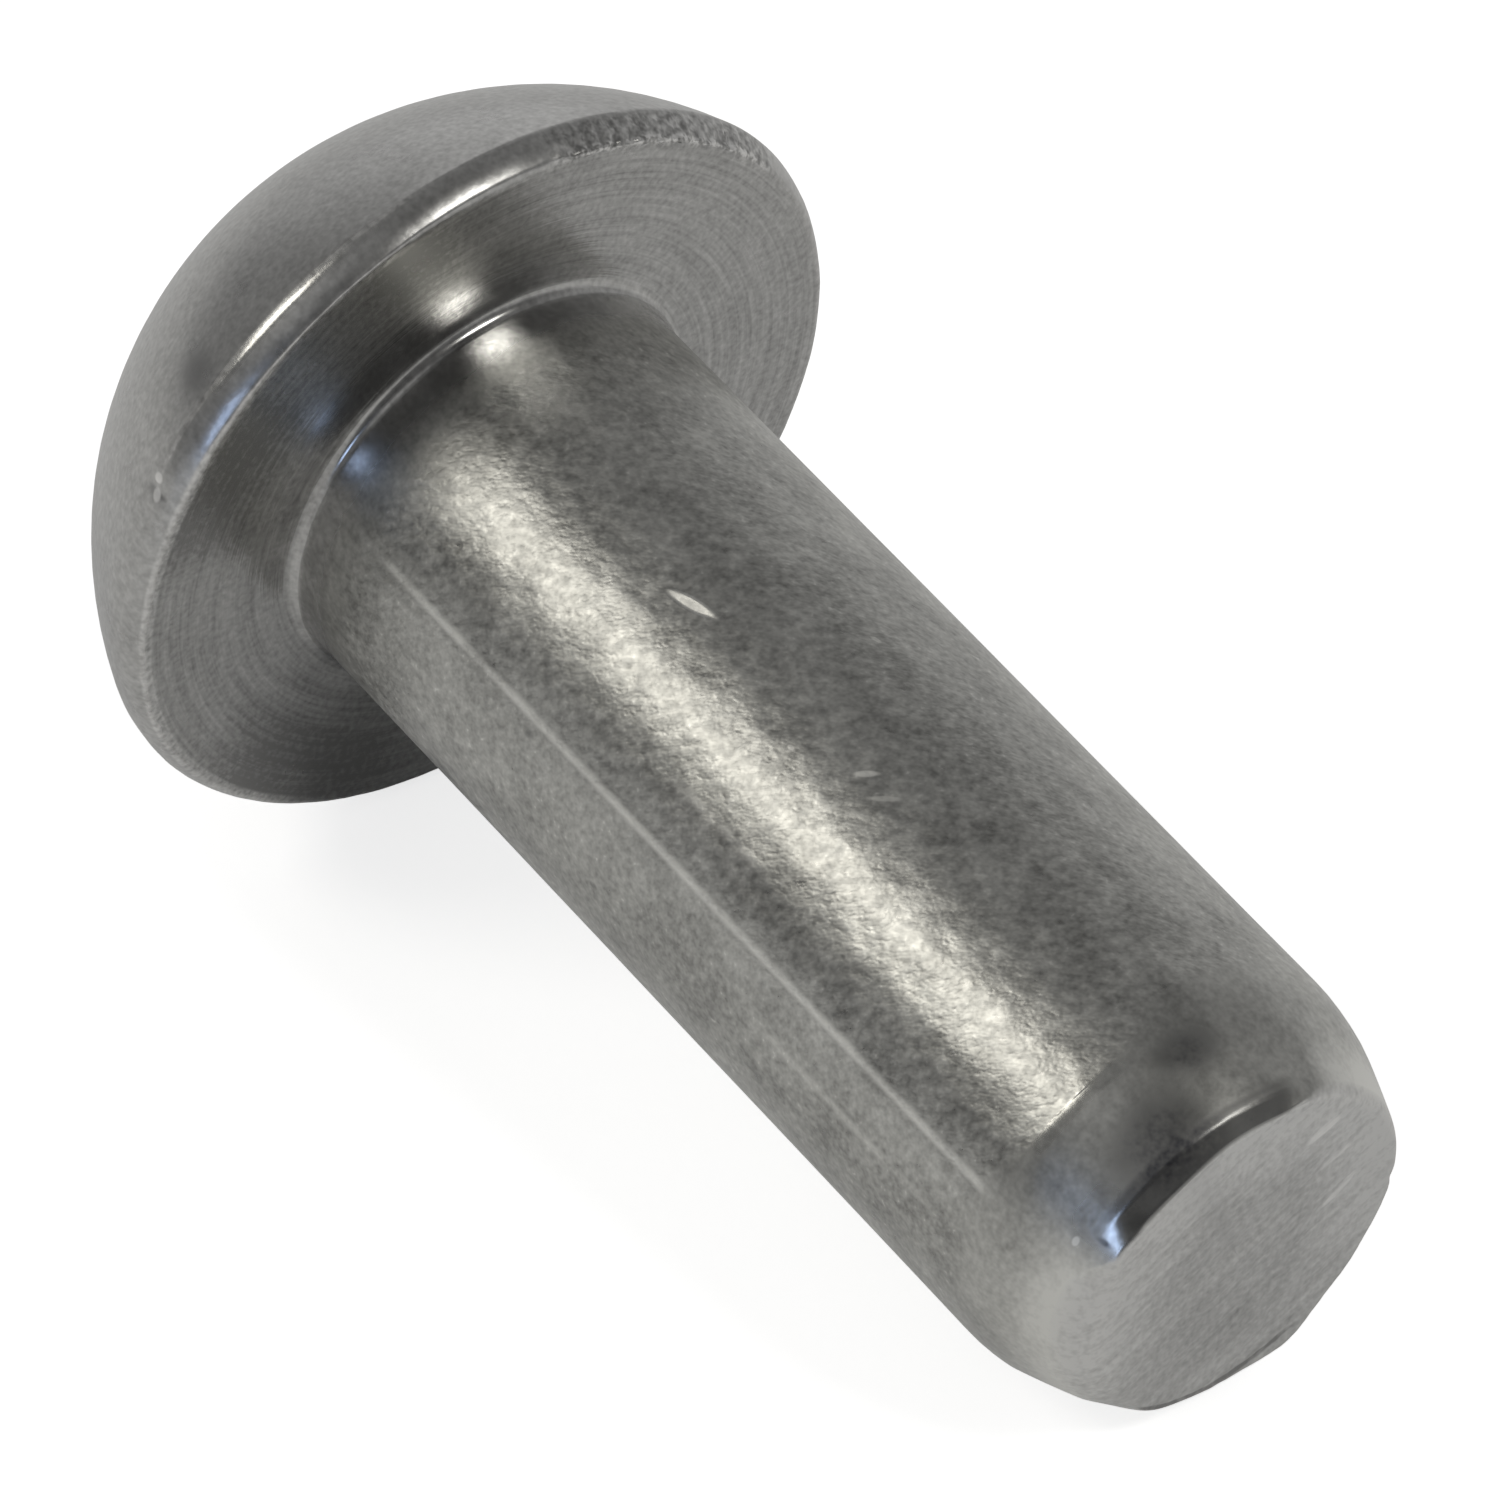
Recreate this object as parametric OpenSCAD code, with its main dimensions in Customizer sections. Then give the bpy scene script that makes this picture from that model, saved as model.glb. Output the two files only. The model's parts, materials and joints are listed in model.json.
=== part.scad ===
// Solid rivet with a domed button head, lying on its rim and on the edge where its tail starts to taper.
// The rivet is revolved about its own axis: heights count from the bearing face, and grow toward the tail.

/* [Head] */
// Diameter of the head at its widest, where the dome meets the rim land
head_d = 11.65; // [10.5:0.05:16]
// Height of the head from the bearing face to the crown of the dome
head_h = 4.75; // [3:0.05:5.5]
// Height of the rim land between the dome and the bearing face
land_h = 0.45; // [0.2:0.05:1]
// How far the rim land draws in toward the bearing face, on the radius
land_draw = 0.18; // [0.04:0.02:0.4]

/* [Shank] */
// Diameter of the shank
shank_d = 6.35; // [4:0.05:8]
// Length from the bearing face to the sheared end
shank_l = 16.4; // [8:0.1:40]
// Radius of the fillet where the shank grows out of the bearing face
neck_fillet = 0.2; // [0.1:0.05:1.2]

/* [Tail] */
// Length of the taper that leads the tail into its hole
tail_l = 1.5; // [0.5:0.05:4]
// How far the taper draws in at the end, on the radius
tail_draw = 0.575; // [0.2:0.025:1.2]
// Angle by which the sheared end is out of square
shear_tilt = 2; // [0:0.5:5]

/* [Pose] */
// Angle by which the rivet is rolled about its own axis as it lies
lie_roll = 177.5; // [0:0.5:359.5]

/* [Finish] */
// Colour of the bare metal
metal = [0.62, 0.62, 0.6]; // [0:0.01:1]

/* [Hidden] */
$fn = 128;

head_r = head_d / 2;
face_r = head_r - land_draw;
shank_r = shank_d / 2;
end_r = shank_r - tail_draw;
taper_start = shank_l - tail_l;

// Dome: the one sphere through the crown and through the widest rim.
dome_h = head_h - land_h;
dome_r = (head_r * head_r + dome_h * dome_h) / (2 * dome_h);
dome_centre = dome_r - head_h;

// Height of the blank that the dome is cut from, well clear of its crown.
blank_h = 2 * head_h;

// Spare stock at the tail, which the tilted shear cut takes off.
spare_l = 2 * shank_r * tan(shear_tilt) + tail_draw;
spare_draw = tail_draw * spare_l / tail_l;
shear_block = 2 * head_d;

// Lying pose: the rim and one edge of the tail touch the ground, whichever edge meets it first.
rim_to_taper = atan((head_r - shank_r) / (taper_start + land_h));
rim_to_end = atan((head_r - end_r) / (shank_l + land_h));
lie_angle = min(rim_to_taper, rim_to_end);
lie_height = head_r * cos(lie_angle) - land_h * sin(lie_angle);

// Reach along the ground, from the crown of the dome to the top of the sheared end.
reach_head = dome_centre * cos(lie_angle) - dome_r;
shear_reach = tan(shear_tilt) * cos(lie_angle);
end_reach = end_r * norm([sin(lie_angle) + shear_reach * sin(lie_roll), shear_reach * cos(lie_roll)]);
reach_tail = shank_l * cos(lie_angle) + end_reach;
middle = (reach_head + reach_tail) / 2;

// Half section of the domed head: the dome's circle, trimmed by the line of the rim land and the bearing face.
module head_section() {
    intersection() {
        translate([0, dome_centre])
            circle(r = dome_r);
        polygon([[0, 0], [face_r, 0], [face_r + land_draw * blank_h / land_h, -blank_h], [0, -blank_h]]);
    }
}

// Half section of the fillet between the bearing face and the shank.
module neck_section() {
    difference() {
        square([shank_r + neck_fillet, neck_fillet]);
        translate([shank_r + neck_fillet, neck_fillet])
            circle(r = neck_fillet);
    }
}

// Half section of the straight shank and its tapered tail, with spare stock past the end.
module shank_section() {
    square([shank_r, taper_start]);
    polygon([
        [0, taper_start],
        [shank_r, taper_start],
        [end_r - spare_draw, shank_l + spare_l],
        [0, shank_l + spare_l]
    ]);
}

// Everything past the sheared end, which leans toward the rivet's side.
module shear_cut() {
    translate([0, 0, shank_l])
        rotate([shear_tilt, 0, 0])
            translate([-shear_block / 2, -shear_block / 2, 0])
                cube(shear_block);
}

module upright_rivet() {
    difference() {
        rotate_extrude() {
            head_section();
            neck_section();
            shank_section();
        }
        shear_cut();
    }
}

module rivet() {
    color(metal)
        translate([-middle, 0, lie_height])
            rotate([0, 90 + lie_angle, 0])
                rotate([0, 0, lie_roll])
                    upright_rivet();
}

rivet();
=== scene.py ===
import json
import math

import bpy
import numpy as np
from mathutils import Matrix, Vector, noise

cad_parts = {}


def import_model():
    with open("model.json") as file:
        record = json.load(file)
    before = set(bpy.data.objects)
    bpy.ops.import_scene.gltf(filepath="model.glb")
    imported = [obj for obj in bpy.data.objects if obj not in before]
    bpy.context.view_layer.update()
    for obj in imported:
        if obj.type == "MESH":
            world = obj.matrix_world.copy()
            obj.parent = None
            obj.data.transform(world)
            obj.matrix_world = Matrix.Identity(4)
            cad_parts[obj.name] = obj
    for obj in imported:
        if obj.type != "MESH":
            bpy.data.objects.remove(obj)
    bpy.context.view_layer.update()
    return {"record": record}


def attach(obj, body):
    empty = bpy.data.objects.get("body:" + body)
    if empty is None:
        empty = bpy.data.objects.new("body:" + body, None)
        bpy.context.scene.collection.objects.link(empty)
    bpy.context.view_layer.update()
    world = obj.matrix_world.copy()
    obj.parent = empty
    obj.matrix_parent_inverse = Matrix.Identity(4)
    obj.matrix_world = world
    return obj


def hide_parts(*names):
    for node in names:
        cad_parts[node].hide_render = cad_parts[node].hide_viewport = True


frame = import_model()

MM = 0.001

# Sizes of the rivet in millimetres, as in the solid. Heights count from the bearing face toward the tail.
HEAD_R = 5.825
HEAD_H = 4.75
LAND_H = 0.45
LAND_DRAW = 0.18
SHANK_R = 3.175
SHANK_L = 16.4
FILLET = 0.2
TAIL_L = 1.5
TAIL_DRAW = 0.575
SHEAR_SLOPE = math.tan(math.radians(2))
SHEAR_AZ = math.radians(87.5)

# Sizes that follow: the dome's sphere, the face, the start of the taper and the end.
DOME_H = HEAD_H - LAND_H
DOME_R = (HEAD_R ** 2 + DOME_H ** 2) / (2 * DOME_H)
DOME_AT = DOME_R - HEAD_H
FACE_R = HEAD_R - LAND_DRAW
TAPER_AT = SHANK_L - TAIL_L
END_R = SHANK_R - TAIL_DRAW

# How the rivet lies: its own axis, what is above it, the side toward the camera, and its face's middle.
LIE = math.atan((HEAD_R - SHANK_R) / (TAPER_AT + LAND_H))
AXIS = np.array([math.cos(LIE), 0, -math.sin(LIE)])
ABOVE = np.array([math.sin(LIE), 0, math.cos(LIE)])
BESIDE = np.array([0, -1.0, 0])
UNDER_HEAD = next(m["pos_m"] for m in frame["record"]["mounts"] if m["name"] == "under_head")
FACE_AT = np.array([UNDER_HEAD[0], 0, UNDER_HEAD[2]]) / MM

# Rings of the mesh in each zone, with closer ones on the last of the shank, and rings on a rounded edge.
RINGS = {"dome": 24, "land": 6, "face": 26, "fillet": 12, "shank": 44, "shank_end": 5, "end": 34}
SHANK_END = 0.3
TAIL_STEPS = np.concatenate([np.linspace(0, 0.76, 8), np.linspace(0.79, 1, 9)])
ROUND_STEPS = 4

# Points around each ring, and closer ones at the draw line: their reach in degrees, their count, and the
# degrees that are kept clear of other points.
AROUND = 460
FINE_REACH, FINE_POINTS, FINE_CLEAR = 1.65, 23, 1.9

# Wear. Angles about the axis are in degrees, from above toward the camera's side, lengths in millimetres.
# The draw line along the shank: its angle, from and to a height, how it fades at its ends, and its width.
DRAW_AZ, DRAW_FROM, DRAW_TO = 66.6, 1.6, 14.8
DRAW_STARTS, DRAW_STOPS, DRAW_WIDE = 0.8, 1.5, 0.06

# Stretches that are torn on the rim and shaved at the end.
TORN_AZ, TORN_SOFT = (-50, -6), 5
SHAVED_AZ, SHAVED_SOFT = (-12, 50), 8

# The end: where the shaved band starts, as a share of the taper, the way its streaks run, its burr, nick and
# crack, and how far in from its edge the streaks fade.
SHAVED_FROM = 0.81
SHEAR_RUN = -63
BURR_AZ, BURR_WIDE = 207, 11
END_NICK_AZ, END_NICK_WIDE = -93, 2.5
CRACK_R, CRACK_WIDE, CRACK_BELOW, CRACK_FADES = 2.56, 0.05, 2.15, 0.15
STREAKS_FADE = 0.25

# A nick in the rim: its angle and height, and its width along both.
RIM_NICK_AZ, RIM_NICK_AT, RIM_NICK_WIDE, RIM_NICK_TALL = 67.5, -0.40, 0.10, 0.14

# How far the wear changes the radius of the end, and how far the land and the taper bulge.
END_SHAVED, END_BURR, END_NICK, END_SPARE = 0.13, 0.20, 0.04, 0.03
LAND_BULGE, TAPER_BULGE = 0.036, 0.018

# Depths of the wear, the height and width of the torn lip, and the height of the draw line.
DEPTH = {"dome": 0.006, "land": 0.01, "torn": 0.035, "nick": 0.04, "rings": 0.0012,
         "drawn": 0.006, "streaks": 0.05, "lumps": 0.02, "crack": 0.03}
LIP_HIGH, LIP_WIDE = 0.045, 0.06
DRAW_HIGH = 0.008

# Features per millimetre in the noise of the wear, and how its octaves fade and grow finer.
WAVES = {"dome": 0.4, "land": 2.2, "frayed": 7.0, "lip": 3.2, "nick": 7.0,
         "drawn": 0.9, "line": 1.3, "streaks": 1.4, "lumps": 1.6}
OCTAVE_FADE, OCTAVE_STEP = 0.6, 2.1

# How that noise is drawn out: it changes only across the axis, only along it, less along it, or less along
# a streak.
ACROSS_ONLY, ALONG_ONLY = np.array([1, 1, 0]), np.array([0, 0, 1.0])
DRAWN_OUT = np.array([1, 1, 0.35])
STREAK_DRAWN_OUT = 0.12

# The face's turned rings, in radians per millimetre of radius, and how their spacing drifts.
RING_RATE, DRIFT_RATE, DRIFT = 23, 7, 2

# How far each edge is rounded off: all around, in waves of a height, a count and a phase, and how much more
# between two angles, with a softness.
EDGES = {
    "rim": (0.05, [(0.01, 3, 1)], [(62, 200, 6, 0.24), (24, 50, 5, 0.06)]),
    "face": (0.06, [(0.015, 5, 2)], []),
    "taper": (0.13, [], [(-110, 12, 8, 0.45), (58, 130, 8, 0.30)]),
    "end": (0.05, [(0.015, 9, 0)], [(66, 150, 8, 0.45), (-70, -20, 8, 0.12)]),
}

# Zones that the material tells apart: shank, face and end.
MATERIAL_ZONES = (["shank"], ["face", "fillet"], ["end"])


def azimuths():
    """Angles about the axis, closer together at the draw line and along the torn rim."""
    even = np.linspace(0, 2 * math.pi, AROUND, endpoint=False)
    line = math.radians(DRAW_AZ)
    near = line + np.radians(np.linspace(-FINE_REACH, FINE_REACH, FINE_POINTS))
    apart = np.abs(even - line) > math.radians(FINE_CLEAR)
    halfway = even + math.pi / AROUND
    low, high = (2 * math.pi + math.radians(a) for a in TORN_AZ)
    torn = halfway[(halfway > low) & (halfway < high)]
    return np.sort(np.concatenate([even[apart], near, torn]))


AZ = azimuths()


def wobble(points, scale, octaves=1):
    """Smooth noise between about -1 and 1 at each point, with features of about 1/scale mm."""
    flat = points.reshape(-1, 3) * scale
    if octaves == 1:
        values = [noise.noise(p) for p in flat]
    else:
        values = [noise.fractal(p, OCTAVE_FADE, OCTAVE_STEP, octaves) for p in flat]
    return np.array(values).reshape(points.shape[:-1])


def waves(points, scale, octaves):
    """The same noise, between about 0 and 1."""
    return 0.5 + 0.5 * wobble(points, scale, octaves)


def ring(height, radius):
    """One ring of the section, as heights and radii at every azimuth."""
    return np.stack([np.broadcast_to(height, AZ.shape), np.broadcast_to(radius, AZ.shape)]).astype(float)


def leg(start, end, steps):
    """Rings on a straight line from start to end, at steps between 0 and 1."""
    return [start + (end - start) * k for k in steps]


def even_steps(count):
    """Steps from 0 to 1, both counted."""
    return np.linspace(0, 1, count)


def corner(start, at, end):
    """Rings on a rounded corner between start and end, without those two."""
    steps = even_steps(ROUND_STEPS + 2)[1:-1]
    return [(1 - k) ** 2 * start + 2 * k * (1 - k) * at + k ** 2 * end for k in steps]


def toward(start, end, length):
    """The point at a length from start on the way to end."""
    way = end - start
    return start + way / np.linalg.norm(way, axis=0) * length


def bell(value, middle, width):
    """A smooth bump of height 1."""
    return np.exp(-((value - middle) / width) ** 2)


def bulge(share):
    """0 at both ends of a zone and 1 in its middle."""
    return 4 * share * (1 - share)


def away(angle):
    """How far each azimuth is from an angle in degrees, in radians, whichever way round is shorter."""
    return np.abs((AZ - math.radians(angle) + math.pi) % (2 * math.pi) - math.pi)


def between(low, high, soft):
    """1 between two angles about the axis and 0 outside, with soft ends, all in degrees."""
    half = math.radians(high - low) / 2
    return 1 / (1 + np.exp((away((low + high) / 2) - half) / math.radians(soft) * 3))


def burr():
    """1 at the burr on the lower edge of the end, and 0 away from it."""
    return bell(away(BURR_AZ), 0, math.radians(BURR_WIDE))


def shaved():
    """1 along the shaved band at the end, and 0 away from it."""
    return between(*SHAVED_AZ, SHAVED_SOFT)


def rounding(edge):
    """How far an edge is rounded off at every azimuth."""
    plain, rises, stretches = EDGES[edge]
    worn = np.full(AZ.shape, plain)
    for height, count, phase in rises:
        worn += height * np.sin(count * AZ + phase)
    for low, high, soft, more in stretches:
        worn += more * between(low, high, soft)
    return worn


def head_rings():
    """Rings of the dome, the rim land and the bearing face, from the crown to the fillet."""
    rim_edge, face_edge = rounding("rim"), rounding("face")
    rim, face, fillet = ring(-LAND_H, HEAD_R), ring(0, FACE_R), ring(0, SHANK_R + FILLET)
    rim_angle = math.asin(HEAD_R / DOME_R) - rim_edge / DOME_R
    angles = [rim_angle * k for k in even_steps(RINGS["dome"] + 1)[1:]]
    dome = [ring(DOME_AT - DOME_R * np.cos(a), DOME_R * np.sin(a)) for a in angles]
    land = leg(toward(rim, face, rim_edge), toward(face, rim, face_edge), even_steps(RINGS["land"]))
    plain = leg(toward(face, fillet, face_edge), fillet, even_steps(RINGS["face"]))
    land = corner(dome[-1], rim, land[0]) + land + corner(land[-1], face, plain[0])
    return [("dome", dome), ("land", land), ("face", plain)]


def fillet_rings():
    """Rings of the fillet, without those of the face and the shank that it touches."""
    turns = np.linspace(0, math.pi / 2, RINGS["fillet"] + 1)[1:-1]
    return [ring(FILLET - FILLET * math.cos(a), SHANK_R + FILLET - FILLET * math.sin(a)) for a in turns]


def end_edge():
    """The edge of the sheared end, out of square, shaved on one side, with a burr below and a nick."""
    lean = SHEAR_SLOPE * np.cos(AZ - SHEAR_AZ)
    radius = END_R / (1 + TAIL_DRAW / TAIL_L * lean) + END_SPARE
    radius = radius - END_SHAVED * shaved() + END_BURR * burr()
    radius = radius - END_NICK * bell(away(END_NICK_AZ), 0, math.radians(END_NICK_WIDE))
    return np.stack([SHANK_L + lean * radius, radius])


def tail_rings():
    """Rings of the shank, the taper and the sheared end, from the fillet to the end's middle."""
    taper_round, end_round = rounding("taper"), rounding("end")
    taper, edge, middle = ring(TAPER_AT, SHANK_R), end_edge(), ring(SHANK_L, 0)
    shank_to = ring(TAPER_AT - taper_round, SHANK_R)
    shank_near = ring(TAPER_AT - taper_round - SHANK_END, SHANK_R)
    shank = leg(ring(FILLET, SHANK_R), shank_near, even_steps(RINGS["shank"]))
    shank += leg(shank_near, shank_to, even_steps(RINGS["shank_end"]))[1:]
    tail = leg(toward(taper, edge, taper_round), toward(edge, taper, end_round), TAIL_STEPS)
    end = leg(toward(edge, middle, end_round), middle, even_steps(RINGS["end"] + 1)[:-1])
    tail_zone = corner(shank[-1], taper, tail[0]) + tail
    end_zone = corner(tail[-1], edge, end[0]) + end
    return [("shank", shank), ("taper", tail_zone), ("end", end_zone)]


def section():
    """All rings from the crown of the dome to the middle of the sheared end, with the zone of each."""
    parts = head_rings() + [("fillet", fillet_rings())] + tail_rings()
    rows = [row for _, rings in parts for row in rings]
    zones = [zone for zone, rings in parts for _ in rings]
    return np.array(rows), np.array(zones)


def own_places(rows):
    """Places in the rivet's own frame: across, beside and along its axis, in millimetres."""
    height, radius = rows[:, 0], rows[:, 1]
    return np.stack([radius * np.cos(AZ), radius * np.sin(AZ), height], axis=-1)


def outward(rows):
    """The direction out of the surface at each point of the section, as height and radius."""
    slope = np.gradient(rows, axis=0)
    out = np.stack([-slope[:, 1], slope[:, 0]], axis=1)
    return out / np.maximum(np.linalg.norm(out, axis=1, keepdims=True), 1e-9)


def head_relief(places, height, radius, on):
    """Wear of the head: a barrel-shaped land that is torn along its top, and the face's turned rings."""
    share = np.clip((height + LAND_H) / LAND_H, 0, 1)
    past_rim = np.clip(share * 4, 0, 1)
    torn = between(*TORN_AZ, TORN_SOFT) * on["land"]
    frayed = np.clip(0.35 + wobble(places, WAVES["frayed"], 3), 0, 1)
    lip = bell(height, 0, LIP_WIDE) * (0.45 + 0.9 * wobble(places * ACROSS_ONLY, WAVES["lip"], 3))
    nick = bell(away(RIM_NICK_AZ) * HEAD_R, 0, RIM_NICK_WIDE) * bell(height, RIM_NICK_AT, RIM_NICK_TALL)
    nick = nick * (0.6 + 0.8 * wobble(places, WAVES["nick"])) * (on["land"] | on["dome"])
    turned = 1 + np.sin(radius * RING_RATE + DRIFT * np.sin(radius * DRIFT_RATE))
    depth = DEPTH["dome"] * waves(places, WAVES["dome"], 2) * on["dome"]
    depth += DEPTH["land"] * waves(places, WAVES["land"], 2) * past_rim * on["land"]
    depth += DEPTH["torn"] * torn * past_rim * frayed
    depth += DEPTH["nick"] * nick
    depth += DEPTH["rings"] * turned * on["face"]
    return depth - LIP_HIGH * torn * lip - LAND_BULGE * bulge(share) * on["land"]


def shank_relief(places, height, on):
    """Wear of the shank and tail: slow waves of drawn wire, the draw line, and a rounded-off tail."""
    starts = np.clip((height - DRAW_FROM) / DRAW_STARTS, 0, 1)
    stops = np.clip((DRAW_TO - height) / DRAW_STOPS, 0, 1)
    line = bell(away(DRAW_AZ) * SHANK_R, 0, DRAW_WIDE) * starts * stops
    line = line * (0.6 + 0.4 * wobble(places * ALONG_ONLY, WAVES["line"]))
    share = np.clip((height - TAPER_AT) / TAIL_L, 0, 1)
    steep = np.clip((share - SHAVED_FROM) / (1 - SHAVED_FROM), 0, 1)
    worn_tail = END_BURR * burr() * (share - share ** 5) - END_SHAVED * shaved() * (share - steep)
    worn_tail = worn_tail - TAPER_BULGE * bulge(share)
    depth = DEPTH["drawn"] * waves(places * DRAWN_OUT, WAVES["drawn"], 2) * (on["shank"] | on["taper"])
    return depth - DRAW_HIGH * line * on["shank"] + worn_tail * on["taper"]


def end_relief(places, radius, on):
    """Streaks that the shear left across the end, and the crack under its burr."""
    cos, sin = math.cos(math.radians(SHEAR_RUN)), math.sin(math.radians(SHEAR_RUN))
    across = -sin * places[..., 0] + cos * places[..., 1]
    along = cos * places[..., 0] + sin * places[..., 1]
    flat = np.zeros_like(across)
    streaks = waves(np.stack([across, along * STREAK_DRAWN_OUT, flat], axis=-1), WAVES["streaks"], 3)
    lumps = waves(np.stack([across, along, flat], axis=-1), WAVES["lumps"], 3)
    inner = np.clip((END_R - radius) / STREAKS_FADE, 0, 1)
    below = np.clip((-places[..., 0] - CRACK_BELOW) / CRACK_FADES, 0, 1)
    crack = bell(radius, CRACK_R, CRACK_WIDE) * below
    depth = DEPTH["streaks"] * streaks * inner + DEPTH["lumps"] * lumps + DEPTH["crack"] * crack
    return depth * on["end"]


def relief(rows, zones):
    """How far the worn surface lies below the plain one at each point, in millimetres."""
    places = own_places(rows)
    height, radius = rows[:, 0], rows[:, 1]
    on = {name: (zones == name)[:, None] for name in set(zones)}
    depth = head_relief(places, height, radius, on)
    return depth + shank_relief(places, height, on) + end_relief(places, radius, on)


def skin_faces(count):
    """Faces between neighbouring rings, and triangles to the crown and to the middle of the end."""
    index = np.arange(count * len(AZ)).reshape(count, len(AZ))
    after = np.roll(index, -1, axis=1)
    crown, middle = index.size, index.size + 1
    faces = np.stack([index[:-1], after[:-1], after[1:], index[1:]], axis=-1).reshape(-1, 4).tolist()
    faces += [[crown, int(b), int(a)] for a, b in zip(index[0], after[0])]
    faces += [[int(a), int(b), middle] for a, b in zip(index[-1], after[-1])]
    return faces


def zone_shares(zones):
    """Each point's share of the zones that the material tells apart, eased from ring to ring."""
    columns = []
    for names in MATERIAL_ZONES:
        share = np.pad(np.isin(zones, names).astype(float), 1, mode="edge")
        share = np.convolve(share, [0.25, 0.5, 0.25], mode="valid")
        columns.append(np.concatenate([np.repeat(share, len(AZ)), [share[0]], [share[-1]]]))
    return np.stack(columns, axis=-1)


def keep(mesh, name, vectors):
    """Keeps a vector at each point of a mesh, for its material."""
    store = mesh.attributes.new(name, "FLOAT_VECTOR", "POINT")
    store.data.foreach_set("vector", vectors.ravel())


def rivet_mesh():
    """The whole rivet as one closed mesh, in metres, with its own places and zones kept for the material."""
    rows, zones = section()
    rows = rows - outward(rows) * relief(rows, zones)[:, None, :]
    crown = [[0, 0, DOME_AT - DOME_R]]
    middle = [[0, 0, rows[-1, 0].mean()]]
    places = np.concatenate([own_places(rows).reshape(-1, 3), crown, middle])
    points = FACE_AT + places[:, :1] * ABOVE + places[:, 1:2] * BESIDE + places[:, 2:] * AXIS
    mesh = bpy.data.meshes.new("rivet_skin")
    mesh.from_pydata((points * MM).tolist(), [], skin_faces(len(rows)))
    mesh.update()
    mesh.shade_smooth()
    keep(mesh, "place", places)
    keep(mesh, "zones", zone_shares(zones))
    return mesh


# A mark's soft outline and its solid core, in its half sizes, and the smaller core of the dark marks.
MARK_EDGE, MARK_CORE, DARK_MARK_CORE = 1.15, 0.6, 0.1


class Nodes:
    """A small helper to write a node tree in a few lines."""

    def __init__(self, tree):
        self.tree = tree
        tree.nodes.clear()

    def add(self, kind, inputs=None, **settings):
        """A new node, with its inputs by name."""
        node = self.tree.nodes.new(kind)
        for name, value in settings.items():
            setattr(node, name, value)
        for name, value in (inputs or {}).items():
            self.put(node.inputs[name], value)
        return node

    def put(self, socket, value):
        """Links another node's output to a socket, or sets the socket to a constant."""
        if isinstance(value, bpy.types.NodeSocket):
            self.tree.links.new(value, socket)
        else:
            socket.default_value = value

    def math(self, operation, *values):
        """What a math node gives for its values in order."""
        node = self.add("ShaderNodeMath", operation=operation)
        for socket, value in zip(node.inputs, values):
            self.put(socket, value)
        return node.outputs[0]

    def vector(self, operation, *values):
        """A vector math node, with its values in order."""
        node = self.add("ShaderNodeVectorMath", operation=operation)
        for socket, value in zip(node.inputs, values):
            self.put(socket, value)
        return node

    def sum(self, first, *rest):
        for term in rest:
            first = self.math("ADD", first, term)
        return first

    def product(self, first, *rest):
        for term in rest:
            first = self.math("MULTIPLY", first, term)
        return first

    def total(self, start, *terms):
        """A start value, plus each value times its weight."""
        for value, weight in terms:
            start = self.math("MULTIPLY_ADD", value, weight, start)
        return start

    def rest(self, share):
        """What is left of 1."""
        return self.math("SUBTRACT", 1.0, share)

    def kept(self, name):
        """A vector that the mesh keeps at each of its points."""
        return self.add("ShaderNodeAttribute", attribute_name=name).outputs["Vector"]

    def parts(self, vector):
        """The three parts of a vector."""
        return self.add("ShaderNodeSeparateXYZ", {"Vector": vector}).outputs

    def noise(self, place, scale, detail, rough):
        """Noise about 0, between about -0.5 and 0.5."""
        inputs = {"Vector": place, "Scale": scale, "Detail": detail, "Roughness": rough}
        return self.math("SUBTRACT", self.add("ShaderNodeTexNoise", inputs).outputs["Fac"], 0.5)

    def stretch(self, place, scale):
        return self.vector("MULTIPLY", place, scale).outputs[0]

    def scaled(self, vector, factor):
        node = self.vector("SCALE", vector)
        self.put(node.inputs["Scale"], factor)
        return node.outputs[0]

    def joined(self, a, b):
        return self.vector("ADD", a, b).outputs[0]

    def ramp(self, value, low, high, to_low=0.0, to_high=1.0, kind="LINEAR"):
        inputs = {"Value": value, "From Min": low, "From Max": high, "To Min": to_low, "To Max": to_high}
        return self.add("ShaderNodeMapRange", inputs, clamp=True, interpolation_type=kind).outputs["Result"]

    def ease(self, value, low, high):
        """0 at low and 1 at high, with a smooth change between them. Low may be the larger one."""
        return self.ramp(value, low, high, kind="SMOOTHSTEP")

    def window(self, value, low, high, soft):
        """1 between low and high and 0 outside, with soft ends."""
        rise = self.ease(value, low - soft, low + soft)
        fall = self.ease(value, high + soft, high - soft)
        return self.product(rise, fall)

    def mix(self, factor, a, b, kind="MIX"):
        """Two colours mixed. A Mix node has sockets for each type of data, so its colours go by number."""
        node = self.add("ShaderNodeMix", data_type="RGBA", blend_type=kind)
        self.put(node.inputs["Factor"], factor)
        self.put(node.inputs[6], a)
        self.put(node.inputs[7], b)
        return node.outputs[2]

    def flat(self, x, y):
        """A place on a flat or unrolled surface."""
        return self.add("ShaderNodeCombineXYZ", {"X": x, "Y": y}).outputs[0]

    def length(self, vector):
        return self.vector("LENGTH", vector).outputs["Value"]

    def turned(self, spot, lean, **mapping):
        """Places moved and turned by a slant in degrees, then divided by a scale."""
        inputs = {"Vector": spot, "Rotation": (0, 0, math.radians(lean)), **mapping}
        return self.add("ShaderNodeMapping", inputs, vector_type="TEXTURE").outputs[0]

    def oval(self, spot, at, size, lean):
        """Places about an oval, in its own half sizes."""
        return self.turned(spot, lean, Location=(*at, 0), Scale=(*size, 1))

    def run(self, spot, lean, length):
        """A vector for patterns that are drawn out along a slant in degrees."""
        return self.turned(spot, lean, Scale=(length, 1, 1))

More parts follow.
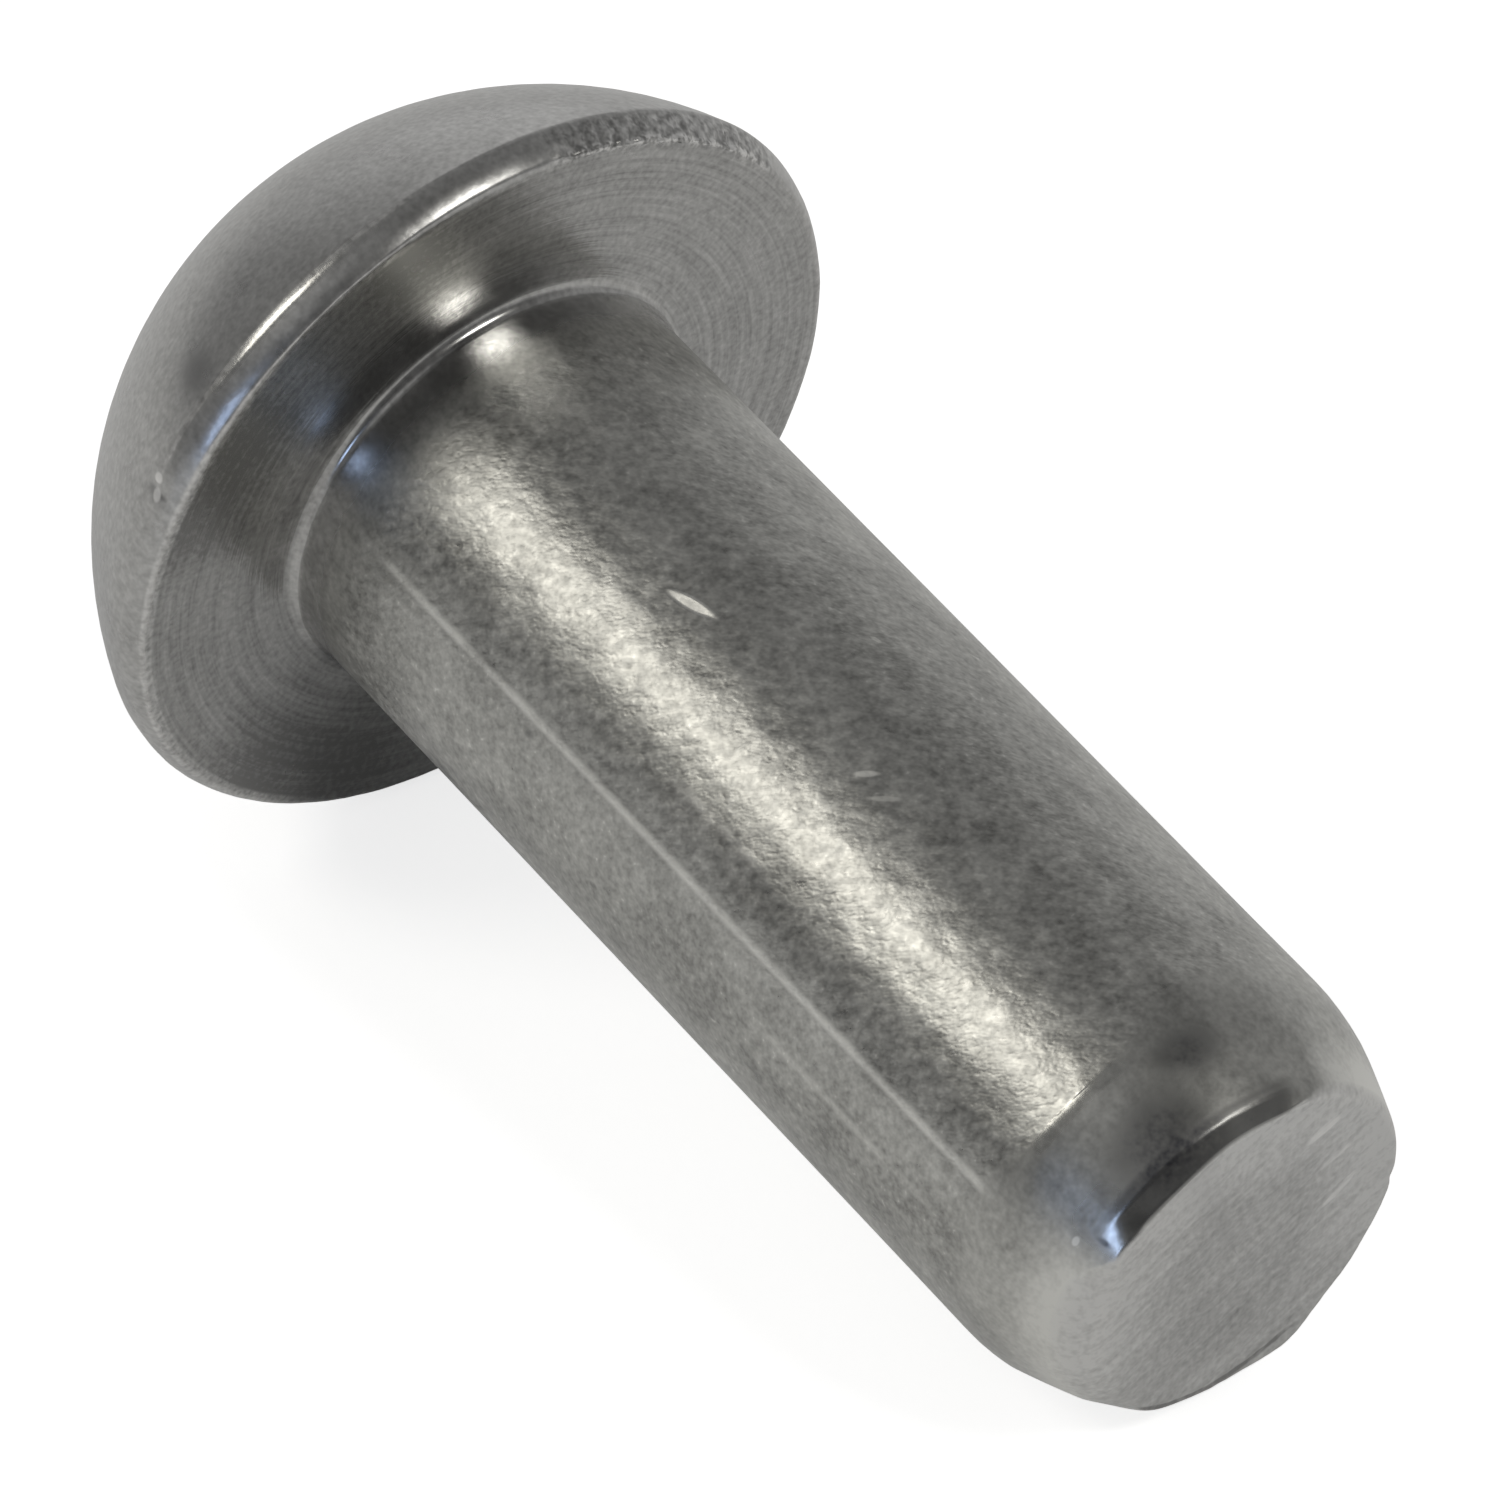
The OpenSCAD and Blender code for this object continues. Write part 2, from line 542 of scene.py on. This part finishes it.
    def marks(self, spot, listed, core=MARK_CORE):
        """Ovals added up: each with its middle, half length, half width, slant in degrees and strength."""
        found = 0.0
        for x, y, length, width, lean, level in listed:
            reach = self.length(self.oval(spot, (x, y), (length, width), lean))
            found = self.total(found, (self.ease(reach, MARK_EDGE, core), level))
        return found


# The bare metal, from its darkest to its lightest, where it is scratched fresh or painted with highlights and
# light, where it is stained or painted with shade, and its tint.
METAL_DARK = (0.26, 0.257, 0.25, 1)
METAL_LIGHT = (0.62, 0.615, 0.60, 1)
METAL_FRESH = (0.82, 0.81, 0.79, 1)
STAIN_AND_SHADE = (0.085, 0.085, 0.095, 1)
HANDLED_TINT = (1.0, 1.002, 0.975, 1)
WHITE = (1, 1, 1, 1)
ROUGH = {"drawn": 0.37, "neck": 0.20, "inner": 0.20, "outer": 0.26, "end": 0.42, "tail": 0.31, "head": 0.29}
POLISHED = 0.20

# Noise of the metal: features per millimetre, detail and roughness. The pattern is flecks on the shank,
# turned rings on the face and streaks on the end, which have their own features per millimetre.
BLOTCHES, LUMPS, SPECKS = (1.5, 2.0, 0.6), (2.8, 0.0, 0.55), (10.0, 1.0, 0.6)
PATTERN = (1.0, 2.0, 0.65)
FLECKS, TURNED, STREAKS = 6.5, 14.0, 6.0
BLOTCH_STRETCH, LUMP_STRETCH = (1, 1, 0.7), (1, 1, 0.6)

# The flecks' slant in degrees, how long flecks and streaks are drawn out, and how much rings vary around.
FLECK_LEAN, FLECK_LENGTH, STREAK_LENGTH, RING_VARIES = -43, 1.6, 12.0, 0.12

# Where the unrolled shank has its seam, flecks fade out: angles from above in radians.
SEAM_FADE = (3.0, 2.6)

# Levels of the specks that show as the torn lip and as painted glints.
LIP_SPECKS, GLINT_SPECKS = (-0.08, 0.08), (0.20, 0.30)

# Heights of the relief in millimetres, too fine for the mesh.
RELIEF = {"lumps": 0.018, "flecks": 0.010, "speck": 0.003, "rings": 0.003, "scratch": -0.025}

# Where one finish gives way to another: heights, or a radius on the face, in millimetres.
DRAWN_FROM, GRAINY_FROM, OUTER_FROM = (0.35, 0.9), (0.8, 1.3), (4.0, 4.8)
TORN_FROM, SHAVED_BAND_FROM = (-0.42, -0.36), (15.96, 16.08)
SMOOTHER_TOWARD_TAIL, POLISHED_END_FROM = (5.0, 13.0), (15.5, 15.9)

# The end is lighter toward its rim, darker toward its foot and cracked below: a radius, then places across.
END_RIM, END_FOOT = (0.9, 2.3), (-0.4, -1.8)
CRACK_STARTS = (-CRACK_BELOW, -CRACK_BELOW - CRACK_FADES)

# Bands along the axis, or of a radius: from, to and softness in millimetres.
TORN_LIP = (-0.07, 0.03, 0.02)
# The rim line and the face line are painted highlights along those edges.
RIM_LINE, FACE_LINE, FACE_LINE_R = (-0.49, -0.42, 0.02), (-0.05, 0.03, 0.02), (5.5, 5.75, 0.03)
POLISHED_RIM, POLISHED_TAPER = (-0.48, -0.32, 0.03), (TAPER_AT - 0.15, TAPER_AT + 0.06, 0.04)
DULL_NECK, SHAVED_CREASE = (0.9, 2.0, 0.5), (15.95, 16.13, 0.02)
# The crack's band is darkened as painted shade in the crack.
CRACK_PAINTED_SHADE = (CRACK_R - 0.04, CRACK_R + 0.04, 0.02)

# Sectors about the axis: from, to and softness in degrees.
TORN_SECTOR, SHAVED_SECTOR, BRIGHT_SECTOR = (*TORN_AZ, 3), (*SHAVED_AZ, 5), (22, 50, 3)
# The first two are the sectors of the painted highlights on the rim and on the face's edge.
RIM_LINE_AZ, FACE_LINE_AZ = (14, 64, 4), (20, 150, 8)
# The second sector is where the shank's lower side is darkened as painted shade over its reflection of the
# floor.
POLISHED_END_AZ, PAINTED_SHADE_SHANK_AZ = (44, 60, 5), (80, 104, 8)

# Rubbed stretches of the tail, lighter as rubbed metal and as painted light: sector, from and to a height,
# and strength.
RUBBED_AND_PAINTED_LIGHT = [((64, 160, 12), (15.2, 16.1), 0.5), ((-85, -26, 8), (15.4, 16.2), 0.6)]

# Sectors of the bearing face darkened as painted shade, which dims its reflections there: from and to an
# angle, softness and strength.
FACE_PAINTED_SHADES = [(13, 27, 4, 0.45), (46, 78, 6, 0.40), (128, 170, 10, 0.40)]

# Lines scored along the shank: angle, from and to a height, and strength. The draw line is the first.
SCORED = [(DRAW_AZ, 0.3, DRAW_TO, 1.0), (82.8, 10.3, 13.8, 0.40), (51.2, 7.4, 9.2, 0.45)]

# Their edge and core in radians from the middle, their soft ends in millimetres, and how ragged they are.
# Before the draw line's start they are faint, and rise to full strength on a short way.
SCORED_EDGE, SCORED_CORE, SCORED_ENDS, SCORED_RAGGED = 0.034, 0.005, 0.3, 0.02
FAINT_START, FAINT_FADE = 0.25, 0.1

# Millimetres per degree about the axis, on the unrolled shank.
ARC = math.radians(SHANK_R)

# Marks on the shank and tail: height, place around the shank, half length, half width, slant, strength.
SCRATCH = (5.55, 19.3 * ARC, 0.42, 0.098, -15, 1.0)
LIGHT_MARKS = [
    (3.17, -16.0 * ARC, 0.20, 0.150, 0, 0.25),
    (9.20, 17.6 * ARC, 0.18, 0.055, -48, 1.0),
    (9.66, 18.7 * ARC, 0.26, 0.045, -45, 0.5),
    (8.19, 26.2 * ARC, 0.06, 0.040, 0, 0.8),
    (7.42, -9.9 * ARC, 0.09, 0.040, -20, 0.6),
    (15.90, 62.0 * ARC, 0.05, 0.090, 0, 0.9),
]
# Dark marks: small pits and stains, and painted shade. The large ones on the taper by its end and the one on
# the dome by the rim stand for dark reflections.
STAIN_AND_SHADE_MARKS = [
    (4.90, 71.0 * ARC, 0.10, 0.09, 0, 0.6),
    (16.20, 57.5 * ARC, 0.13, 0.07, 0, 0.9),
    (15.20, 8.0 * ARC, 0.42, 0.60, 0, 0.85),
    (11.20, 56.0 * ARC, 0.50, 0.25, 0, 0.25),
    (15.85, 27.0 * ARC, 0.60, 1.10, 0, 0.9),
    (-0.95, 52.0 * ARC, 0.50, 0.22, 0, 0.5),
]

# Nicks on the rim, as on the shank, and scratches on the end: above and beside its middle, then the same.
RIM_MARKS = [(-0.45, 66.0 * ARC, 0.09, 0.045, 0, 1.1), (-0.36, 68.2 * ARC, 0.09, 0.050, 20, 1.1)]
END_MARKS = [
    (1.72, -1.15, 0.34, 0.10, SHEAR_RUN, 0.9),
    (0.95, -1.50, 0.30, 0.08, SHEAR_RUN, 0.6),
    (0.22, -1.72, 0.36, 0.09, SHEAR_RUN + 12, 0.9),
]


class Surface(Nodes):
    """The rivet's skin for its material: where a point lies, in which zone, and the metal's patterns."""

    def __init__(self, tree):
        super().__init__(tree)
        self.place = self.kept("place")
        self.across, self.beside, self.along = self.parts(self.place)
        self.turn = self.math("ARCTAN2", self.beside, self.across)
        self.unrolled = self.flat(self.along, self.product(self.turn, SHANK_R))
        self.on_disc = self.flat(self.across, self.beside)
        self.radius = self.length(self.on_disc)
        self.shank, self.face, self.end = self.parts(self.kept("zones"))
        others = self.rest(self.sum(self.shank, self.face, self.end))
        self.tail = self.product(others, self.math("GREATER_THAN", self.along, TAPER_AT / 2))
        self.head = self.math("SUBTRACT", others, self.tail)
        self.find_zones()
        self.find_patterns()

    def sector(self, low, high, soft):
        """1 between two angles about the axis, in degrees."""
        return self.window(self.turn, math.radians(low), math.radians(high), math.radians(soft))

    def find_zones(self):
        """Zones within the zones: the burnished neck, the outer face, and what was handled or worn."""
        self.drawn = self.product(self.shank, self.ease(self.along, *DRAWN_FROM))
        self.grainy = self.product(self.ease(self.shank, 0.5, 1.0), self.ease(self.along, *GRAINY_FROM))
        self.outer = self.product(self.face, self.ease(self.radius, *OUTER_FROM))
        self.handled = self.sum(self.drawn, self.tail)
        self.torn = self.product(self.head, self.sector(*TORN_SECTOR), self.ease(self.along, *TORN_FROM))
        band = self.ease(self.along, *SHAVED_BAND_FROM)
        self.shaved = self.product(self.tail, self.sector(*SHAVED_SECTOR), band)
        # The rubbed stretches are lighter as rubbed metal and as painted light.
        rubbed = 0.0
        for sector, heights, level in RUBBED_AND_PAINTED_LIGHT:
            part = self.product(self.sector(*sector), self.ease(self.along, *heights))
            rubbed = self.total(rubbed, (part, level))
        self.rubbed = self.product(self.tail, rubbed)

    def only(self, share, value):
        """A value inside a zone, and 0 outside it."""
        return self.product(self.math("GREATER_THAN", share, 0.5), value)

    def ring_places(self):
        """Places that change fast with the radius and little around, for turned rings."""
        share = self.math("DIVIDE", RING_VARIES, self.radius)
        around = {"Y": self.product(self.across, share), "Z": self.product(self.beside, share)}
        return self.add("ShaderNodeCombineXYZ", {"X": self.radius, **around}).outputs[0]

    def find_patterns(self):
        """Noise. One pattern is slanted flecks on the shank, rings on the face and streaks on the end."""
        self.blotch = self.noise(self.stretch(self.place, BLOTCH_STRETCH), *BLOTCHES)
        self.lumps = self.noise(self.stretch(self.place, LUMP_STRETCH), *LUMPS)
        self.speck = self.noise(self.place, *SPECKS)
        flecks = self.run(self.unrolled, FLECK_LEAN, FLECK_LENGTH)
        streaks = self.run(self.on_disc, SHEAR_RUN, STREAK_LENGTH)
        runs = self.scaled(flecks, self.only(self.shank, FLECKS))
        runs = self.joined(self.scaled(self.ring_places(), self.only(self.face, TURNED)), runs)
        runs = self.joined(self.scaled(streaks, self.only(self.end, STREAKS)), runs)
        self.pattern = self.noise(runs, *PATTERN)
        clear_of_seam = self.ease(self.math("ABSOLUTE", self.turn), *SEAM_FADE)
        self.flecks = self.product(self.pattern, self.grainy, clear_of_seam)


def scored_lines(s):
    """The draw line, which starts faintly, and fainter ones beside it."""
    ragged = s.product(s.speck, SCORED_RAGGED)
    scored = 0.0
    for angle, low, high, level in SCORED:
        off = s.math("ABSOLUTE", s.math("SUBTRACT", s.turn, math.radians(angle)))
        line = s.ease(s.sum(off, ragged), SCORED_EDGE, SCORED_CORE)
        scored = s.total(scored, (s.product(line, s.window(s.along, low, high, SCORED_ENDS)), level))
    start = s.ramp(s.along, DRAW_FROM - FAINT_FADE, DRAW_FROM + FAINT_FADE, FAINT_START, 1.0)
    return s.product(scored, s.sum(0.9, s.speck, s.blotch), start, s.shank)


def light_marks(s):
    """Scratches and nicks, where the metal is fresh."""
    drags = s.product(s.marks(s.on_disc, END_MARKS), s.end, s.total(0.7, (s.pattern, 2.0)))
    return s.total(drags, (s.marks(s.unrolled, [SCRATCH] + LIGHT_MARKS + RIM_MARKS), s.rest(s.end)))


def lip_and_painted_highlights(s):
    """Fresh metal on the torn lip, and painted highlights: lines on the edges of the rim and of the face, and
    glints on the shank.
    """
    lip = s.product(s.torn, s.window(s.along, *TORN_LIP), s.ease(s.speck, *LIP_SPECKS))
    glints = s.product(s.grainy, s.ease(s.speck, *GLINT_SPECKS))
    rim_line = s.product(s.window(s.along, *RIM_LINE), s.sector(*RIM_LINE_AZ), s.head)
    on_edge = s.product(s.window(s.along, *FACE_LINE), s.window(s.radius, *FACE_LINE_R))
    painted_edge_highlights = s.total(s.product(rim_line, 0.45), (s.product(on_edge, s.sector(*FACE_LINE_AZ)), 0.35))
    return s.total(s.product(lip, 0.5), (glints, 0.35), (painted_edge_highlights, s.total(0.8, (s.speck, 2.5))))


def polished_edges(s):
    """How smooth rubbing left the metal: on the rim, where the taper starts, and beside the shaved band."""
    at_taper = s.product(s.window(s.along, *POLISHED_TAPER), s.sum(s.shank, s.tail))
    at_rim = s.product(s.window(s.along, *POLISHED_RIM), s.head)
    at_end = s.product(s.tail, s.sector(*POLISHED_END_AZ), s.ease(s.along, *POLISHED_END_FROM))
    return s.total(s.product(at_end, 0.75), (s.sector(*BRIGHT_SECTOR), s.sum(at_taper, at_rim)))


def painted_face_shade(s):
    """Painted shade on sectors of the bearing face, mostly on its outer part."""
    shades = s.total(0.0, *((s.sector(low, high, soft), level) for low, high, soft, level in FACE_PAINTED_SHADES))
    return s.product(shades, s.total(s.product(s.face, 0.4), (s.outer, 0.6)))


def metal_colour(s, light, scored):
    """Blotches and specks, most of all on what was handled, stains, fresh marks and a fresh sheared end, with
    painted shade and painted highlights.
    """
    ragged = s.total(0.8, (s.blotch, 1.0), (s.speck, 1.6))
    # Dark marks and the shaved band: stains, with painted shade on the shaved band and on the large taper and
    # dome marks.
    dark = s.product(s.total(s.marks(s.unrolled, STAIN_AND_SHADE_MARKS, DARK_MARK_CORE), (s.shaved, 0.55)), ragged)
    # Painted shade in the crack on the end.
    crack = s.product(s.end, s.window(s.radius, *CRACK_PAINTED_SHADE), s.ease(s.across, *CRACK_STARTS))
    edge, foot = s.ease(s.radius, *END_RIM), s.ease(s.across, *END_FOOT)
    tone = s.total(
        0.5,
        (s.blotch, s.total(0.4, (s.handled, 0.7))),
        (s.speck, s.total(0.8, (s.drawn, 0.2), (s.torn, 1.5))),
        (s.flecks, 1.0),
        (s.face, s.total(-0.08, (s.pattern, 0.9))),
        (s.end, s.total(0.10, (s.pattern, 0.8), (edge, 0.34), (foot, -0.28))),
        # Painted shade on the shank's lower side.
        (s.product(s.shank, s.sector(*PAINTED_SHADE_SHANK_AZ)), -0.15),
        # Lighter rubbed stretches of the tail, partly painted light.
        (s.rubbed, 1.0),
        # Painted shade on the bearing face.
        (painted_face_shade(s), -1.0),
        (s.torn, -0.12),
        # The shaved band darker: painted shade over its dark reflections.
        (s.shaved, -0.3),
        (crack, -0.6),
        (dark, -0.3),
    )
    colour = s.mix(tone, METAL_DARK, METAL_LIGHT)
    # Toward the near black of stains and painted shade.
    colour = s.mix(s.product(dark, 0.75), colour, STAIN_AND_SHADE)
    # Toward fresh metal: the torn lip, scratches and scored lines, with painted highlights on the edges and
    # painted light on the rubbed tail.
    fresh = s.total(lip_and_painted_highlights(s), (scored, 0.9), (light, 0.9), (s.rubbed, 0.6))
    colour = s.mix(fresh, colour, METAL_FRESH)
    return s.mix(1.0, colour, s.mix(s.handled, WHITE, HANDLED_TINT), "MULTIPLY")


def metal_roughness(s, light, scored):
    """The roughness of each zone, with blotches and flecks on top, and less of it on the rubbed edges."""
    zones = {"drawn": s.drawn, "neck": s.math("SUBTRACT", s.shank, s.drawn), "outer": s.outer,
             "inner": s.math("SUBTRACT", s.face, s.outer), "end": s.end, "tail": s.tail, "head": s.head}
    rough = s.total(0.0, *((share, ROUGH[name]) for name, share in zones.items()))
    rough = s.total(
        rough,
        (s.blotch, 0.10),
        (s.flecks, 0.40),
        (s.sum(light, scored), 0.12),
        (s.product(s.shank, s.window(s.along, *DULL_NECK)), 0.06),
        (s.product(s.drawn, s.ease(s.along, *SMOOTHER_TOWARD_TAIL)), -0.015),
        (s.product(s.shaved, s.window(s.along, *SHAVED_CREASE)), 0.18),
    )
    return s.ramp(polished_edges(s), 0.0, 1.0, rough, POLISHED)


def metal_relief(s):
    """Lumps, grain and flecks on the shank, rings on the face, and the tilt of the scratch, as a normal."""
    on_scratch = s.oval(s.unrolled, SCRATCH[0:2], SCRATCH[2:4], SCRATCH[4])
    tilt = s.parts(on_scratch)["Y"]
    grain = s.total(s.grainy, (s.head, 0.5), (s.tail, 0.4))
    height = s.total(
        0.0,
        (s.product(s.lumps, s.grainy), RELIEF["lumps"]),
        (s.flecks, RELIEF["flecks"]),
        (s.product(s.speck, grain), RELIEF["speck"]),
        (s.product(s.pattern, s.face), RELIEF["rings"]),
        (s.product(s.ease(s.length(on_scratch), MARK_EDGE, MARK_CORE), tilt), RELIEF["scratch"]),
    )
    return s.add("ShaderNodeBump", {"Height": height, "Distance": MM, "Strength": 1.0}).outputs["Normal"]


def metal_material():
    """Bare aluminium: smooth on the head, turned under it, pitted on the shank, torn at the end."""
    material = bpy.data.materials.new("bare_metal_worn")
    material.use_nodes = True
    s = Surface(material.node_tree)
    light, scored = light_marks(s), scored_lines(s)
    look = {
        "Base Color": metal_colour(s, light, scored),
        "Metallic": 1.0,
        "Roughness": metal_roughness(s, light, scored),
        "Normal": metal_relief(s),
    }
    shader = s.add("ShaderNodeBsdfPrincipled", look)
    s.add("ShaderNodeOutputMaterial", {"Surface": shader.outputs[0]})
    return material


# The floor: its radius in metres, its corners, how far it lies below the rivet, its colour, and its glow to
# the camera and in reflections. The reflected glow fades out close to where the head touches the floor, as a
# painted contact shadow.
FLOOR_R, FLOOR_CORNERS, FLOOR_BELOW = 2, 96, 0.00001
FLOOR_COLOUR = (0.88, 0.88, 0.88, 1)
FLOOR_GLOW, FLOOR_GLOW_REFLECTED = 0.72, 0.19
HEAD_TOUCHES = tuple((FACE_AT - LAND_H * AXIS - HEAD_R * ABOVE) * MM)
SHADED_TO, GLOWS_FROM = 2.1 * MM, 3.4 * MM


def floor_material():
    """Pale, with a glow of its own for the camera, and a weaker one in reflections, faded near the head's
    touch as a painted contact shadow.
    """
    material = bpy.data.materials.new("floor_pale")
    material.use_nodes = True
    n = Nodes(material.node_tree)
    path = n.add("ShaderNodeLightPath").outputs
    mirrored = n.math("MAXIMUM", path["Is Glossy Ray"], path["Is Transmission Ray"])
    spot = n.add("ShaderNodeNewGeometry").outputs["Position"]
    reach = n.vector("DISTANCE", spot, HEAD_TOUCHES).outputs["Value"]
    # Painted contact shadow: no reflected glow close to where the head touches.
    reflected = n.product(mirrored, n.ramp(reach, SHADED_TO, GLOWS_FROM), FLOOR_GLOW_REFLECTED)
    level = n.math("MAXIMUM", reflected, n.product(path["Is Camera Ray"], FLOOR_GLOW))
    plain = n.add("ShaderNodeBsdfDiffuse", {"Color": FLOOR_COLOUR})
    glow = n.add("ShaderNodeEmission", {"Color": WHITE, "Strength": level})
    both = n.add("ShaderNodeAddShader")
    n.put(both.inputs[0], plain.outputs[0])
    n.put(both.inputs[1], glow.outputs[0])
    n.add("ShaderNodeOutputMaterial", {"Surface": both.outputs[0]})
    return material


def floor():
    """A round, plain floor, which keeps the rivet's shadow."""
    mesh = bpy.data.meshes.new("floor")
    turns = np.linspace(0, 2 * math.pi, FLOOR_CORNERS, endpoint=False)
    rim = [(FLOOR_R * math.cos(a), FLOOR_R * math.sin(a), -FLOOR_BELOW) for a in turns]
    mesh.from_pydata(rim, [], [list(range(len(rim)))])
    mesh.materials.append(floor_material())
    piece = bpy.data.objects.new("floor", mesh)
    bpy.context.scene.collection.objects.link(piece)


# Lamps: direction from the rivet, width and height in metres, radiance and colour. All face one spot.
LAMPS = {
    "key": ((-0.380, -0.590, 0.712), 0.085, 0.085, 3.9, (1.0, 0.975, 0.90)),
    "side": ((0.642, 0.22, 0.735), 0.066, 0.056, 9.5, (1.0, 0.99, 0.95)),
    "blue": ((0.46, -0.865, 0.20), 0.05, 0.04, 4.0, (0.50, 0.66, 1.0)),
}
LAMP_AWAY = 0.25
LAMPS_AROUND = (0, 0, 0.005)


def softbox(name, way, width, height, radiance, colour):
    """A rectangular lamp in a direction from the rivet, facing it, of a given radiance."""
    lamp = bpy.data.lights.new(name, "AREA")
    lamp.shape = "RECTANGLE"
    lamp.size, lamp.size_y = width, height
    lamp.energy = radiance * math.pi * width * height
    lamp.color = colour
    piece = bpy.data.objects.new(name, lamp)
    way = Vector(way).normalized()
    piece.location = Vector(LAMPS_AROUND) + way * LAMP_AWAY
    piece.rotation_euler = way.to_track_quat("Z", "Y").to_euler()
    piece.visible_camera = False
    bpy.context.scene.collection.objects.link(piece)


# Light from all round: grey at the horizon, in front and behind, and overhead. Then patches of sky, each with
# its middle, the cosines of the angles at its edge and in its core, and the levels there.
FRONT_GREY, BACK_GREY, OVERHEAD_GREY = 0.20, 0.52, 0.24
LIGHT_LEFT = ((-0.82, 0.50, 0.28), 0.85, 1.0, 0.0, 0.28)
DARK_OVERHEAD = ((0.32, 0.10, 0.94), 0.955, 0.985, 1.0, 0.35)
LIGHT_FRONT = ((0.30, -0.60, 0.74), 0.93, 1.0, 0.0, 0.24)
RIGHT_DIMMED = 0.5

# Where those levels change, as parts of a direction: front to back, horizon to top, and to the right and up.
FRONT_TO_BACK, HORIZON_TO_TOP = (-0.5, 0.6), (0.1, 0.75)
TO_RIGHT, OFF_HORIZON = (0.3, 0.65), (0.05, 0.25)


def patch(n, way, middle, low, high, to_low, to_high):
    """A level that changes with the angle from a direction, given by its cosine."""
    return n.ramp(n.vector("DOT_PRODUCT", way, middle).outputs["Value"], low, high, to_low, to_high)


def world():
    """Soft light from all round: grey at the horizon, and darker above and on the right."""
    space = bpy.data.worlds.new("studio")
    bpy.context.scene.world = space
    space.use_nodes = True
    n = Nodes(space.node_tree)
    way = n.add("ShaderNodeTexCoord").outputs["Generated"]
    x, y, z = n.parts(way)
    horizon = n.ramp(y, *FRONT_TO_BACK, FRONT_GREY, BACK_GREY)
    level = n.ramp(z, *HORIZON_TO_TOP, horizon, OVERHEAD_GREY)
    level = n.sum(level, patch(n, way, *LIGHT_LEFT))
    level = n.product(level, patch(n, way, *DARK_OVERHEAD))
    level = n.sum(level, patch(n, way, *LIGHT_FRONT))
    right = n.product(n.ramp(x, *TO_RIGHT), n.ramp(z, *OFF_HORIZON))
    level = n.ramp(right, 0.0, 1.0, level, n.product(level, RIGHT_DIMMED))
    shade = n.add("ShaderNodeBackground", {"Color": WHITE, "Strength": level})
    n.add("ShaderNodeOutputWorld", {"Surface": shade.outputs[0]})


# The camera, fitted to the photograph's outline: its place, its turn and rise in degrees, and its lens.
CAMERA_AT = Vector((98.2196, -75.1991, 103.1597)) * MM
CAMERA_TURN, CAMERA_RISE = 52.58, 38.52
LENS, SENSOR = 286.63, 36
NEAREST, FARTHEST = 0.001, 10


def camera():
    """The photograph's view: a long lens from the right, in front and above."""
    turn, rise = math.radians(CAMERA_TURN), math.radians(CAMERA_RISE)
    back = Vector((math.sin(turn) * math.cos(rise), -math.cos(turn) * math.cos(rise), math.sin(rise)))
    right = Vector((math.cos(turn), math.sin(turn), 0))
    up = back.cross(right)
    lens = bpy.data.cameras.new("camera")
    lens.sensor_width = SENSOR
    lens.lens = LENS
    lens.clip_start, lens.clip_end = NEAREST, FARTHEST
    piece = bpy.data.objects.new("camera", lens)
    axes = Matrix((right, up, back)).transposed().to_4x4()
    piece.matrix_world = Matrix.Translation(CAMERA_AT) @ axes
    bpy.context.scene.collection.objects.link(piece)
    bpy.context.scene.camera = piece


bpy.context.scene.view_settings.view_transform = "Standard"
rivet = bpy.data.objects.new("rivet_worn", rivet_mesh())
bpy.context.scene.collection.objects.link(rivet)
rivet.data.materials.append(metal_material())
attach(rivet, "root")
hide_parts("rivet")
floor()
world()
camera()
for name, lamp in LAMPS.items():
    softbox(name, *lamp)

bpy.context.view_layer.update()
